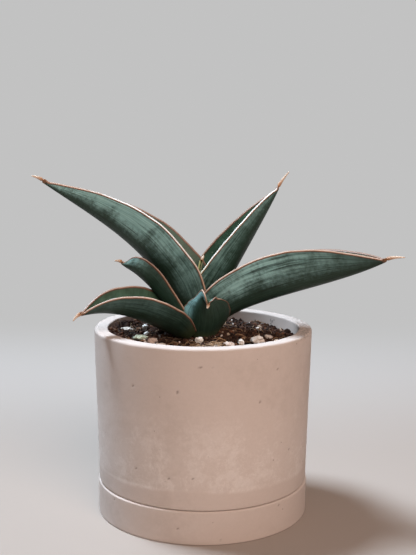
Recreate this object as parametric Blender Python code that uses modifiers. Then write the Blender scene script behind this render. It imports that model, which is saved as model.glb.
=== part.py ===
"""Potted snake plant: a dwarf snake plant in a small concrete pot that stands in its saucer.

Run it with: blender --background --python part.py
Metres, +Z up. The origin is at the middle of the saucer's underside, and the front is -Y.
"""

import math

import bmesh
import bpy
import numpy as np
from mathutils import Matrix, Vector

MM = 0.001
GAP = 0.3 * MM  # kept between pieces that rest on or in each other
LEAF_GAP = 0.5 * MM  # cut where leaf bases nest

# Pot and saucer
TOTAL_HEIGHT = 90 * MM
RIM_RADIUS = 52.5 * MM
SEAM_RADIUS = 50.6 * MM
WALL = 6.4 * MM
RIM_ROUND = 1.1 * MM
POT_FLOOR = 8 * MM
DRAIN_RADIUS = 6 * MM
FOOT_RADIUS = 45.6 * MM
SAUCER_HEIGHT = 15.7 * MM
SAUCER_TOP_RADIUS = 51.1 * MM
SAUCER_BASE_RADIUS = 51.1 * MM
SAUCER_FLOOR = 5 * MM
SAUCER_INNER_RADIUS = 46.3 * MM
TURNED_STEPS = 48

# Soil, and the crown that the leaves grow from
SOIL_DROP = 6 * MM  # from the rim's top down to the soil at the wall
SOIL_MOUND = 3.4 * MM  # extra height of the soil near the plant
MOUND_SPREAD = 24 * MM
SOCKET_RADIUS = 20 * MM
SOCKET_FLOOR = 81 * MM
CROWN_RADIUS = 9 * MM
CROWN_BOTTOM = 62 * MM
CROWN_TOP = 82 * MM
SOIL_STEPS = 40

# Leaves
LEAF_SECTIONS = 13
LEAF_COLUMNS = 8  # across the outer face, and again across the inner face
LEAF_EDGE = 1.1 * MM  # thickness at the margins
KEEL_MOST = 6 * MM  # thickness along the keel, where the leaf is widest
KEEL_AT_BASE = 2.2 * MM
KEEL_SHARE = 0.42  # keel thickness as a share of the section's depth
BLADE_END = 0.985  # where the blade hands over to its spine
CUTTER_START = -0.04  # a cutter also starts this far ahead of its leaf's base
SPINE_RADIUS = 0.35 * MM  # at the very tip

# Each leaf: the keel's four Bezier points and the spine's tip in mm, then the half width in mm,
# the share of it at the base, where it is widest, how full the taper is, the section's depth as
# a share of the half width at the base and tip, and the roll about the keel in degrees at the
# base, at the tip, and what the middle adds.
LEAVES = {
    "leaf_left_long": dict(
        keel=[(-7, 5.5, 86), (-23, 2.5, 126), (-45.5, 15.5, 135), (-78.2, 2.3, 159.4)],
        spine=(-82, 0.9, 161.9), half=13, base=0.53, widest=0.2, taper=2, depth=(1.5, 1.64),
        roll=(-12, 15, -2)),
    "leaf_left_short": dict(
        keel=[(-7.5, -5.5, 87.5), (-31.5, -9.5, 120.5), (-34.5, -2, 115.5), (-39.7, -2, 120.5)],
        spine=(-42.6, -2, 121.7), half=6.5, base=0.6, widest=0.42, taper=1.8, depth=(0.95, 1.35),
        roll=(24, 23, 0)),
    "leaf_left_low": dict(
        keel=[(-9, -9, 85), (-24, -17.3, 92), (-36.4, -15, 102.8), (-56, -29.3, 99.8)],
        spine=(-59, -30.5, 97.8), half=12.4, base=0.58, widest=0.22, taper=2.05,
        depth=(0.92, 1.52), roll=(-6, -7, -2)),
    "leaf_front_small": dict(
        keel=[(-0.3, -11.5, 85.5), (2.6, -20.8, 97.6), (0.2, -18.7, 108.9), (1.7, -20.5, 103.8)],
        spine=(1.7, -22.2, 102.6), half=11.3, base=0.75, widest=0.29, taper=1.66,
        depth=(0.73, 1), roll=(-6, -31, -1)),
    "leaf_right_long": dict(
        keel=[(7, -2, 86.5), (6.2, -5.7, 102.7), (60.4, -5.8, 108.8), (83.1, -29.2, 125.9)],
        spine=(90.4, -31, 127.8), half=13.9, base=0.58, widest=0.49, taper=1.84,
        depth=(1.26, 1.57), roll=(1, -9, 0)),
    "leaf_back_upright": dict(
        keel=[(1.8, 8.8, 89), (11.4, 14.1, 108.7), (29.7, 5.7, 141.7), (37.1, 16.2, 155.9)],
        spine=(41.8, 16.5, 164), half=12.1, base=0.4, widest=0.21, taper=1.67,
        depth=(1.49, 1.25), roll=(-7, -5, 4)),
    "leaf_centre_new": dict(
        keel=[(-2, 7.5, 97), (-2.6, 8.4, 105), (-2.4, 9.4, 114), (-0.6, 10, 120.5)],
        spine=(0.2, 10, 123), half=2.1, base=0.9, widest=0.3, taper=1.6, depth=(0.9, 1),
        roll=(0, 0, 0)),
}

# Where the bases nest, the second leaf's own clearance is cut from the first one.
NESTED = [
    ("leaf_back_upright", "leaf_left_long"),
    ("leaf_back_upright", "leaf_right_long"),
    ("leaf_left_long", "leaf_right_long"),
    ("leaf_left_short", "leaf_left_low"),
    ("leaf_left_short", "leaf_front_small"),
    ("leaf_left_short", "leaf_right_long"),
]

# Stones on the soil: name, x, y, then length, width and height, all in mm, and a turn in degrees.
STONES = [
    ("pumice_1", -37.5, 7, 6, 4.6, 3.6, 10),
    ("pumice_2", -29.5, -11, 6.6, 4, 2.8, -12),
    ("pumice_3", -24, -17.5, 4.4, 3.4, 2.6, 40),
    ("pumice_4", -19.5, -26.5, 5.4, 3.6, 2.4, 5),
    ("pumice_5", 25.5, -18, 6.2, 5, 4, -20),
    ("pumice_6", 11.8, -25.5, 5, 3, 2.4, 15),
    ("pumice_7", 31, -7, 4, 3.2, 2.4, 30),
    ("perlite_1", -29, 13, 2.8, 2.6, 2.6, 0),
    ("perlite_2", -27.5, 0.5, 3, 2.6, 2.4, 25),
    ("perlite_3", -1.8, -21.5, 3.4, 3.2, 3, 0),
    ("perlite_4", 24, -27.5, 3.4, 3, 2.6, 45),
    ("perlite_5", 17.5, -21, 3, 2.6, 2.2, 60),
    ("perlite_6", 34.5, -15, 3, 2.6, 2.2, 10),
    ("perlite_7", 6, -30, 2.8, 2.4, 2, 0),
    ("perlite_8", 27.5, 12, 3, 2.8, 2.4, 15),
]


def clear_scene():
    for obj in list(bpy.data.objects):
        bpy.data.objects.remove(obj, do_unlink=True)


def new_collection(name):
    made = bpy.data.collections.new(name)
    bpy.context.scene.collection.children.link(made)
    return made


def new_material(name, colour, roughness):
    made = bpy.data.materials.new(name)
    made.use_nodes = True
    shader = made.node_tree.nodes["Principled BSDF"]
    shader.inputs["Base Color"].default_value = (*colour, 1)
    shader.inputs["Roughness"].default_value = roughness
    shader.inputs["Metallic"].default_value = 0
    return made


def new_object(name, mesh, collection, material=None):
    made = bpy.data.objects.new(name, mesh)
    collection.objects.link(made)
    if material:
        mesh.materials.append(material)
    return made


def arc(centre_r, centre_z, radius, start, end, steps=3):
    """Points of a rounded corner in a turned profile, from one angle to another in degrees."""
    return [
        (centre_r + radius * math.cos(math.radians(start + (end - start) * i / steps)),
         centre_z + radius * math.sin(math.radians(start + (end - start) * i / steps)))
        for i in range(steps + 1)
    ]


def turned(name, profile, collection, material, steps=TURNED_STEPS):
    """A closed profile at +X, running down its outer side, turned about Z by a Screw modifier."""
    mesh = bpy.data.meshes.new(name)
    count = len(profile)
    points = [(r, 0, z) for r, z in profile]
    on_axis = profile[0][0] == 0 and profile[-1][0] == 0
    edges = [(i, i + 1) for i in range(count - 1)]
    if not on_axis:
        edges.append((count - 1, 0))
    mesh.from_pydata(points, edges, [])
    obj = new_object(name, mesh, collection, material)
    screw = obj.modifiers.new("turn", "SCREW")
    screw.steps = screw.render_steps = steps
    screw.use_merge_vertices = True
    screw.merge_threshold = 0.00005
    screw.use_smooth_shade = True
    return obj


def make_saucer(collection, material):
    top, base, inner = SAUCER_TOP_RADIUS, SAUCER_BASE_RADIUS, SAUCER_INNER_RADIUS
    lip, heel, cove = 0.9 * MM, 1.4 * MM, 1.5 * MM
    profile = [(0, SAUCER_FLOOR), (inner - cove, SAUCER_FLOOR), (inner, SAUCER_FLOOR + cove)]
    profile += [(inner, SAUCER_HEIGHT)]
    profile += arc(top - lip, SAUCER_HEIGHT - lip, lip, 90, 0)
    profile += arc(base - heel, heel, heel, 0, -90)
    profile += [(0, 0)]
    return turned("saucer", profile, collection, material)


def make_pot(collection, material):
    foot_z = SAUCER_FLOOR + GAP
    shoulder_z = SAUCER_HEIGHT + GAP
    inside_z = foot_z + POT_FLOOR
    inner_top = RIM_RADIUS - WALL
    inner_low = FOOT_RADIUS - 2 * MM
    lip, bevel = 1.2 * MM, 1 * MM
    profile = arc(RIM_RADIUS - RIM_ROUND, TOTAL_HEIGHT - RIM_ROUND, RIM_ROUND, 90, 0)
    profile += [(SEAM_RADIUS, shoulder_z + 0.4 * MM), (SEAM_RADIUS - 0.4 * MM, shoulder_z)]
    profile += [(FOOT_RADIUS, shoulder_z), (FOOT_RADIUS, foot_z + bevel)]
    profile += [(FOOT_RADIUS - bevel, foot_z), (DRAIN_RADIUS, foot_z), (DRAIN_RADIUS, inside_z)]
    profile += [(inner_low, inside_z)]
    profile += arc(inner_top + lip, TOTAL_HEIGHT - lip, lip, 180, 90)
    return turned("pot", profile, collection, material)


def soil_height(x, y):
    """Height of the soil's top: level at the wall, mounded to the plant, with low lumps."""
    r = math.hypot(x, y)
    mound = SOIL_MOUND * math.exp(-((r / MOUND_SPREAD) ** 2))
    lumps = 0.45 * MM * math.sin(x * 310 + 1.3) * math.cos(y * 270 - 0.4)
    return TOTAL_HEIGHT - SOIL_DROP + mound + lumps


def make_soil(collection, material):
    """Rings of points from the socket's middle out over the top, down the wall and in below."""
    inside_z = SAUCER_FLOOR + GAP + POT_FLOOR
    top_radius = RIM_RADIUS - WALL - GAP
    low_radius = FOOT_RADIUS - 2 * MM - GAP
    hole = CROWN_RADIUS + GAP
    wall_slope = (top_radius - low_radius) / (TOTAL_HEIGHT - inside_z)
    wall_radius = low_radius + wall_slope * (TOTAL_HEIGHT - SOIL_DROP - inside_z) - 0.2 * MM
    rings = [(hole, CROWN_BOTTOM - GAP), (hole, SOCKET_FLOOR - 1.5 * MM)]
    rings += [(SOCKET_RADIUS - 6 * MM, SOCKET_FLOOR - 0.5 * MM)]
    rings += [(SOCKET_RADIUS + (wall_radius - SOCKET_RADIUS) * i / 5, None) for i in range(6)]
    rings += [(low_radius, inside_z + GAP)]
    points, faces = [], []
    for radius, z in rings:
        for step in range(SOIL_STEPS):
            angle = 2 * math.pi * step / SOIL_STEPS
            x, y = radius * math.cos(angle), radius * math.sin(angle)
            points.append((x, y, soil_height(x, y) if z is None else z))
    for ring in range(len(rings) - 1):
        for step in range(SOIL_STEPS):
            a, b = ring * SOIL_STEPS + step, ring * SOIL_STEPS + (step + 1) % SOIL_STEPS
            faces.append((a, a + SOIL_STEPS, b + SOIL_STEPS, b))
    last = (len(rings) - 1) * SOIL_STEPS
    faces.append(tuple(range(SOIL_STEPS)))
    faces.append(tuple(last + step for step in reversed(range(SOIL_STEPS))))
    mesh = bpy.data.meshes.new("potting_soil")
    mesh.from_pydata(points, [], faces)
    return new_object("potting_soil", mesh, collection, material)


def make_crown(collection, material):
    profile = [(0, CROWN_TOP), (0.6 * CROWN_RADIUS, CROWN_TOP - 0.5 * MM)]
    profile += [(CROWN_RADIUS, CROWN_TOP - 4 * MM), (CROWN_RADIUS, CROWN_BOTTOM + 6 * MM)]
    profile += [(0.5 * CROWN_RADIUS, CROWN_BOTTOM + 0.5 * MM), (0, CROWN_BOTTOM)]
    return turned("crown_stem", profile, collection, material, steps=16)


def leaf_frames(keel, roll, along):
    """Points on the keel, with the side and opening directions of the section at each."""
    p = np.array(keel) * MM
    t = along[:, None]
    points = (1 - t) ** 3 * p[0] + 3 * (1 - t) ** 2 * t * p[1] + 3 * (1 - t) * t**2 * p[2] + t**3 * p[3]
    forward = (1 - t) ** 2 * (p[1] - p[0]) + 2 * (1 - t) * t * (p[2] - p[1]) + t**2 * (p[3] - p[2])
    forward /= np.linalg.norm(forward, axis=1)[:, None]
    heading = (p[3] - p[0])[:2] / np.linalg.norm((p[3] - p[0])[:2])
    level = np.array([-heading[1], heading[0], 0])
    side = level - (forward @ level)[:, None] * forward
    side /= np.linalg.norm(side, axis=1)[:, None]
    opening = np.cross(forward, side)
    start, end, middle = roll
    turn = np.radians(start + (end - start) * along + middle * 4 * along * (1 - along))[:, None]
    return (points, np.cos(turn) * side + np.sin(turn) * opening,
            np.cos(turn) * opening - np.sin(turn) * side)


def leaf_mesh(name, leaf, grow=0.0):
    """A loft of channel sections: an outer face bent to a keel, and a flatter inner face.

    The sections are unlike each other, so the faces are built ring by ring. A positive grow
    makes the solid that much larger all round, for cutting a clearance.
    """
    along = np.linspace(0, BLADE_END, LEAF_SECTIONS)
    if grow:
        along = np.append(CUTTER_START, along)
    rings = len(along)
    points, side, opening = leaf_frames(leaf["keel"], leaf["roll"], along)
    widest, half = leaf["widest"], leaf["half"] * MM
    rise = leaf["base"] + (1 - leaf["base"]) * np.sin(np.pi / 2 * np.clip(along / widest, 0, 1))
    fall = 1 - np.clip((along - widest) / (1 - widest), 0, 1) ** leaf["taper"]
    width = half * np.where(along < widest, rise, fall)
    depth = width * (leaf["depth"][0] + (leaf["depth"][1] - leaf["depth"][0]) * along)
    swell = np.clip(along / 0.3, 0, 1)
    swell = swell**2 * (3 - 2 * swell)
    keel_full = np.minimum(KEEL_SHARE * depth, KEEL_MOST)
    keel = np.minimum(KEEL_AT_BASE + (keel_full - KEEL_AT_BASE) * swell, 0.6 * depth) + 2 * grow
    edge = np.minimum(LEAF_EDGE, 0.5 * width) + 2 * grow
    across = np.linspace(-1, 1, LEAF_COLUMNS + 1)
    verts, per_ring = [], 2 * len(across)
    for i in range(rings):
        low = points[i] - grow * opening[i]
        wide, deep = width[i] + grow, depth[i] + 2 * grow
        for s in across:
            verts.append(low + deep * s * s * opening[i] + wide * s * side[i])
        for s in across[::-1]:
            up = keel[i] + (deep - keel[i]) * s * s
            verts.append(low + up * opening[i] + (wide - edge[i]) * s * side[i])
    faces = []
    for i in range(rings - 1):
        for j in range(per_ring):
            a, b = i * per_ring + j, i * per_ring + (j + 1) % per_ring
            faces += [(a, b, b + per_ring), (a, b + per_ring, a + per_ring)]
    for j in range(LEAF_COLUMNS):
        faces.append((j, per_ring - 1 - j, per_ring - 2 - j, j + 1))
    last = (rings - 1) * per_ring
    tip = len(verts)
    axis = Vector(leaf["spine"]) * MM - Vector(verts[last + LEAF_COLUMNS // 2])
    turn = axis.to_track_quat("Z", "Y").to_matrix()
    for j in range(per_ring):
        angle = 2 * math.pi * j / per_ring
        rim = Vector((math.cos(angle), math.sin(angle), 0)) * (SPINE_RADIUS + grow)
        verts.append(np.array(Vector(leaf["spine"]) * MM + turn @ rim))
    nearest = min(range(per_ring), key=lambda k: np.linalg.norm(verts[tip + k] - verts[last]))
    order = [tip + (nearest + j) % per_ring for j in range(per_ring)]
    ahead = np.linalg.norm(verts[order[1]] - verts[last + 1])
    behind = np.linalg.norm(verts[order[-1]] - verts[last + 1])
    if behind < ahead:
        order = [order[0]] + order[:0:-1]
    for j in range(per_ring):
        k = (j + 1) % per_ring
        faces.append((last + j, last + k, order[k], order[j]))
    faces.append(tuple(order))
    mesh = bpy.data.meshes.new(name)
    mesh.from_pydata([tuple(v) for v in verts], [], faces)
    outward(mesh)
    return mesh


def outward(mesh):
    """Turns the faces of a closed mesh outwards, and splits them into triangles."""
    work = bmesh.new()
    work.from_mesh(mesh)
    bmesh.ops.triangulate(work, faces=work.faces)
    if work.calc_volume(signed=True) < 0:
        bmesh.ops.reverse_faces(work, faces=work.faces)
    work.to_mesh(mesh)
    work.free()
    mesh.shade_smooth()


def make_leaves(collection, cutters, material):
    made = {}
    for name, leaf in LEAVES.items():
        made[name] = new_object(name, leaf_mesh(name, leaf), collection, material)
    grown = {}
    for name, other in NESTED:
        if other not in grown:
            space = other + "_space"
            cutter = new_object(space, leaf_mesh(space, LEAVES[other], LEAF_GAP), cutters)
            cutter.hide_render = True
            cutter.display_type = "WIRE"
            grown[other] = cutter
        cut = made[name].modifiers.new("clear_of_" + other, "BOOLEAN")
        cut.operation = "DIFFERENCE"
        cut.solver = "EXACT"
        cut.object = grown[other]
    return made


def make_stones(collection, pumice, perlite):
    """Rounded stones: a coarse ball pushed in and out by a smooth wave, set on the soil."""
    for index, (name, x, y, length, width, height, turn) in enumerate(STONES):
        work = bmesh.new()
        bmesh.ops.create_icosphere(work, subdivisions=2, radius=0.5)
        for vert in work.verts:
            wave = math.sin(4 * vert.co.x + index) * math.cos(5 * vert.co.y - 2 * index)
            vert.co *= 1 + 0.18 * wave
        scale = Matrix.Diagonal(Vector((length * MM, width * MM, height * MM, 1)))
        work.transform(Matrix.Rotation(math.radians(turn), 4, "Z") @ scale)
        lift = max(
            soil_height(x * MM + v.co.x, y * MM + v.co.y) - v.co.z for v in work.verts if v.co.z < 0
        )
        work.transform(Matrix.Translation((x * MM, y * MM, lift + 1.5 * GAP)))
        mesh = bpy.data.meshes.new(name)
        work.to_mesh(mesh)
        work.free()
        mesh.shade_smooth()
        new_object(name, mesh, collection, pumice if name.startswith("pumice") else perlite)


def main():
    clear_scene()
    parts = new_collection("potted_snake_plant")
    cutters = new_collection("cutters")
    concrete = new_material("pale_concrete", (0.62, 0.54, 0.49), 0.85)
    saucer_concrete = new_material("pale_concrete_saucer", (0.62, 0.54, 0.49), 0.85)
    soil = new_material("potting_mix", (0.045, 0.03, 0.022), 0.95)
    leaf = new_material("leaf_green", (0.045, 0.12, 0.09), 0.5)
    stem = new_material("crown_tan", (0.35, 0.28, 0.16), 0.7)
    pumice = new_material("pumice", (0.6, 0.52, 0.46), 0.9)
    perlite = new_material("perlite", (0.85, 0.84, 0.8), 0.9)
    make_saucer(parts, saucer_concrete)
    make_pot(parts, concrete)
    make_soil(parts, soil)
    make_crown(parts, stem)
    make_leaves(parts, cutters, leaf)
    make_stones(parts, pumice, perlite)


main()
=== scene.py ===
import math

import bmesh
import bpy
import numpy as np
from mathutils import Matrix, Vector


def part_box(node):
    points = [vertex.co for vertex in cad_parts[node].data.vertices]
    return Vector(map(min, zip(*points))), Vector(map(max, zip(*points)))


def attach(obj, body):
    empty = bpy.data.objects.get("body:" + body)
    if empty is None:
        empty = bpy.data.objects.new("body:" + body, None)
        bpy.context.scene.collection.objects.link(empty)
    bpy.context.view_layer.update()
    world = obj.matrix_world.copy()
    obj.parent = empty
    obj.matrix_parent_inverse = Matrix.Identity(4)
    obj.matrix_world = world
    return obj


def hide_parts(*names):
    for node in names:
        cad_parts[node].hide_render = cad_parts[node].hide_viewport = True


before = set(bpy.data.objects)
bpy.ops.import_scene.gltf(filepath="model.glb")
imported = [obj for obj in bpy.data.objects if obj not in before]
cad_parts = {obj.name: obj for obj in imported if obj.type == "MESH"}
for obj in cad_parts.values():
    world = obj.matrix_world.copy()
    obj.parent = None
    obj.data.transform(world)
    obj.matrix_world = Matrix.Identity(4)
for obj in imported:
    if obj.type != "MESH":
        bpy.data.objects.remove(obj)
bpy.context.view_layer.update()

mm = 0.001
fitGap = 0.0003     # clear space between pieces that rest on each other
print("frame loaded")


# ---- shared shape helpers

def hashNoise(points, cell, seed):
    # smooth value noise: random numbers on a cubic lattice of this cell size, blended with 3t^2 - 2t^3
    table = np.random.default_rng(seed).random((32, 32, 32)) * 2 - 1
    p = np.asarray(points) / cell
    low = np.floor(p).astype(int)
    f = p - low
    f = f * f * (3 - 2 * f)
    total = 0
    for dx in (0, 1):
        for dy in (0, 1):
            for dz in (0, 1):
                corner = table[(low[..., 0] + dx) % 32, (low[..., 1] + dy) % 32, (low[..., 2] + dz) % 32]
                wx = f[..., 0] if dx else 1 - f[..., 0]
                wy = f[..., 1] if dy else 1 - f[..., 1]
                wz = f[..., 2] if dz else 1 - f[..., 2]
                total = total + corner * wx * wy * wz
    return total


def fractalNoise(points, cell, seed, octaves=3):
    # a sum of hashNoise layers, each half the cell size and half the height of the one before
    return sum(hashNoise(points, cell / 2**k, seed + k) / 2**k for k in range(octaves))


def gridFaces(rows, cols, wrapRows=False, wrapCols=True):
    # quads between neighbouring rows and columns of a grid of points
    r = np.arange(rows if wrapRows else rows - 1)[:, None]
    c = np.arange(cols if wrapCols else cols - 1)[None, :]
    r2, c2 = (r + 1) % rows, (c + 1) % cols
    quads = np.stack([r * cols + c, r * cols + c2, r2 * cols + c2, r2 * cols + c], -1)
    return quads.reshape(-1, 4)


def fanFaces(ring, centre):
    # a triangle from each edge of a ring of point numbers to one centre point
    return np.stack([ring, np.roll(ring, -1), np.full(len(ring), centre)], 1)


def repeatFaces(faces, copies, pointCount):
    # the faces of one small shape, once for each copy of its points
    return (faces[None] + (np.arange(copies) * pointCount)[:, None, None]).reshape(-1, faces.shape[1])


def meshPiece(name, points, faceSets, material, smooth=True, attributes=None):
    # faceSets holds one array of point numbers for each kind of face, such as quads, then triangles
    mesh = bpy.data.meshes.new(name)
    faces = [face for faceSet in faceSets for face in np.asarray(faceSet).tolist()]
    mesh.from_pydata(np.reshape(points, (-1, 3)).tolist(), [], faces)
    for key, values in (attributes or {}).items():
        layer = mesh.attributes.new(key, "FLOAT", "POINT")
        layer.data.foreach_set("value", np.asarray(values, np.float32).ravel())
    if smooth:
        mesh.shade_smooth()
    mesh.materials.append(material)
    mesh.update()
    piece = bpy.data.objects.new(name, mesh)
    bpy.context.scene.collection.objects.link(piece)
    return piece


def roundCorner(r, z, radius, start, end, steps=6):
    # points on an arc about (r, z) from one angle to another, in degrees
    a = np.radians(np.linspace(start, end, steps + 1))
    return [(r + radius * math.cos(t), z + radius * math.sin(t)) for t in a]


def denseProfile(points, spacing):
    # the same outline with points no further apart than the spacing
    out = []
    for (r0, z0), (r1, z1) in zip(points[:-1], points[1:]):
        n = max(1, int(math.ceil(math.hypot(r1 - r0, z1 - z0) / spacing)))
        out += [(r0 + (r1 - r0) * k / n, z0 + (z1 - z0) * k / n) for k in range(n)]
    return np.array(out + [points[-1]])


# ---- shared shader helpers

def newMaterial(name):
    material = bpy.data.materials.new(name)
    material.use_nodes = True
    tree = material.node_tree
    return material, tree, tree.nodes["Principled BSDF"]


def addNode(tree, kind, values=None, links=None, **settings):
    node = tree.nodes.new(kind)
    for key, value in settings.items():
        setattr(node, key, value)
    for key, value in (values or {}).items():
        node.inputs[key].default_value = value
    for key, socket in (links or {}).items():
        tree.links.new(socket, node.inputs[key])
    return node


def feed(tree, socket, value):
    # links another node's output to this input, or sets the input to a number or a colour
    if hasattr(value, "links"):
        tree.links.new(value, socket)
    else:
        socket.default_value = (*value, 1) if isinstance(value, tuple) else value


def mathNode(tree, operation, a, b=None, clamp=False):
    node = addNode(tree, "ShaderNodeMath", operation=operation, use_clamp=clamp)
    feed(tree, node.inputs[0], a)
    if b is not None:
        feed(tree, node.inputs[1], b)
    return node.outputs[0]


def multiply(tree, a, b, clamp=False):
    return mathNode(tree, "MULTIPLY", a, b, clamp)


def add(tree, a, b, clamp=False):
    return mathNode(tree, "ADD", a, b, clamp)


def subtract(tree, a, b):
    return mathNode(tree, "SUBTRACT", a, b)


def mapRange(tree, value, fromLow, fromHigh, toLow=0.0, toHigh=1.0, smooth=True):
    limits = {"From Min": fromLow, "From Max": fromHigh, "To Min": toLow, "To Max": toHigh}
    node = addNode(tree, "ShaderNodeMapRange", limits, {"Value": value},
                   interpolation_type="SMOOTHSTEP" if smooth else "LINEAR")
    return node.outputs["Result"]


def mixColour(tree, factor, a, b, blend="MIX"):
    node = addNode(tree, "ShaderNodeMix", data_type="RGBA", blend_type=blend)
    for index, value in ((0, factor), (6, a), (7, b)):
        feed(tree, node.inputs[index], value)
    return node.outputs[2]


def attributeValue(tree, name):
    return addNode(tree, "ShaderNodeAttribute", attribute_name=name).outputs["Fac"]


def noiseValue(tree, vector, scale, detail=3.0, roughness=0.55):
    return addNode(tree, "ShaderNodeTexNoise", {"Scale": scale, "Detail": detail, "Roughness": roughness},
                   {"Vector": vector}).outputs["Fac"]


def valueRamp(tree, value, places):
    # a value that follows these (position, value) pairs
    node = addNode(tree, "ShaderNodeValToRGB", None, {"Fac": value})
    stops = node.color_ramp.elements
    while len(stops) < len(places):
        stops.new(1.0)
    for stop, (position, level) in zip(stops, places):
        stop.position = position
        stop.color = (level, level, level, 1)
    return node.outputs["Color"]


def newGroup(name, inputs, outputs):
    group = bpy.data.node_groups.new(name, "ShaderNodeTree")
    for label, kind in inputs:
        group.interface.new_socket(name=label, in_out="INPUT", socket_type=kind)
    for label, kind in outputs:
        group.interface.new_socket(name=label, in_out="OUTPUT", socket_type=kind)
    return group, group.nodes.new("NodeGroupInput"), group.nodes.new("NodeGroupOutput")


def buildMottleGroup():
    # soft patches at one scale with finer specks inside them, as a mask from 0 to 1
    group, gIn, gOut = newGroup("softMottle",
                                [("Vector", "NodeSocketVector"), ("Patch Scale", "NodeSocketFloat"),
                                 ("Speck Scale", "NodeSocketFloat"), ("Speck Share", "NodeSocketFloat")],
                                [("Mask", "NodeSocketFloat")])
    patch = addNode(group, "ShaderNodeTexNoise", {"Detail": 3.0, "Roughness": 0.6},
                    {"Vector": gIn.outputs["Vector"], "Scale": gIn.outputs["Patch Scale"]}).outputs["Fac"]
    speck = addNode(group, "ShaderNodeTexNoise", {"Detail": 2.0, "Roughness": 0.7},
                    {"Vector": gIn.outputs["Vector"], "Scale": gIn.outputs["Speck Scale"]}).outputs["Fac"]
    share = multiply(group, subtract(group, speck, 0.5), gIn.outputs["Speck Share"])
    group.links.new(add(group, patch, share, clamp=True), gOut.inputs["Mask"])
    return group


def buildPoreGroup():
    # round air holes of a cast surface: a mask, 1 in a hole, from cells whose centres come close
    group, gIn, gOut = newGroup("castPores",
                                [("Vector", "NodeSocketVector"), ("Scale", "NodeSocketFloat"),
                                 ("Size", "NodeSocketFloat"), ("Keep", "NodeSocketFloat")],
                                [("Mask", "NodeSocketFloat")])
    cells = addNode(group, "ShaderNodeTexVoronoi", {"Randomness": 1.0},
                    {"Vector": gIn.outputs["Vector"], "Scale": gIn.outputs["Scale"]})
    near = addNode(group, "ShaderNodeMapRange", {"From Min": 0.0, "To Min": 1.0, "To Max": 0.0},
                   {"Value": cells.outputs["Distance"], "From Max": gIn.outputs["Size"]},
                   interpolation_type="SMOOTHSTEP").outputs["Result"]
    pick = addNode(group, "ShaderNodeSeparateColor", None, {"Color": cells.outputs["Color"]}).outputs[0]
    kept = mathNode(group, "LESS_THAN", pick, gIn.outputs["Keep"])
    group.links.new(multiply(group, near, kept), gOut.inputs["Mask"])
    return group


mottleGroup = buildMottleGroup()
poreGroup = buildPoreGroup()


def mottle(tree, vector, patchScale, speckScale, speckShare):
    values = {"Patch Scale": patchScale, "Speck Scale": speckScale, "Speck Share": speckShare}
    node = addNode(tree, "ShaderNodeGroup", values, {"Vector": vector}, node_tree=mottleGroup)
    return node.outputs["Mask"]


def pores(tree, vector, scale, size, keep):
    values = {"Scale": scale, "Size": size, "Keep": keep}
    node = addNode(tree, "ShaderNodeGroup", values, {"Vector": vector}, node_tree=poreGroup)
    return node.outputs["Mask"]


def finishSurface(tree, shader, colour, roughness, specular=0.5):
    for key, value in (("Base Color", colour), ("Roughness", roughness), ("Specular IOR Level", specular)):
        feed(tree, shader.inputs[key], value)


def bump(tree, shader, height, strength, distance):
    node = addNode(tree, "ShaderNodeBump", {"Strength": strength, "Distance": distance}, {"Height": height})
    tree.links.new(node.outputs["Normal"], shader.inputs["Normal"])


# ---- camera and stage

cameraLook = {
    "distance": 0.4622,     # in front of the pot's axis
    "height": 0.1821,
    "lens": 62.9,
    "longSide": 36,         # of the sensor, in mm like the lens
    "pitchDown": 8.42,
    "yawRight": 0.27,
    "roll": 0.37,
}


def makeCamera(look):
    pitch, yaw, roll = (math.radians(look[k]) for k in ("pitchDown", "yawRight", "roll"))
    forward = Vector((math.sin(yaw) * math.cos(pitch), math.cos(yaw) * math.cos(pitch), -math.sin(pitch)))
    right = Vector((math.cos(yaw), -math.sin(yaw), 0))
    up = right.cross(forward)
    tiltedRight = right * math.cos(roll) + up * math.sin(roll)
    tiltedUp = up * math.cos(roll) - right * math.sin(roll)
    data = bpy.data.cameras.new("camera")
    data.lens = look["lens"]
    data.sensor_width = data.sensor_height = look["longSide"]
    camera = bpy.data.objects.new("camera", data)
    camera.matrix_world = Matrix.Translation((0, -look["distance"], look["height"])) @ Matrix(
        (tiltedRight, tiltedUp, -forward)).transposed().to_4x4()
    bpy.context.scene.collection.objects.link(camera)
    bpy.context.scene.camera = camera


stageLook = {
    "floorColour": (0.34, 0.28, 0.24),
    "backColour": (0.60, 0.55, 0.52),
    "seenBack": (0.54, 0.54, 0.54),     # what the camera, and mirror or clear surfaces, see of the back
    "half": 1.6,
    "backDistance": 1.1,
    "bendRadius": 0.45,
    "blendDepth": (0.06, 0.5),          # behind the pot's axis, where the floor's look turns into the back's
}


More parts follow.
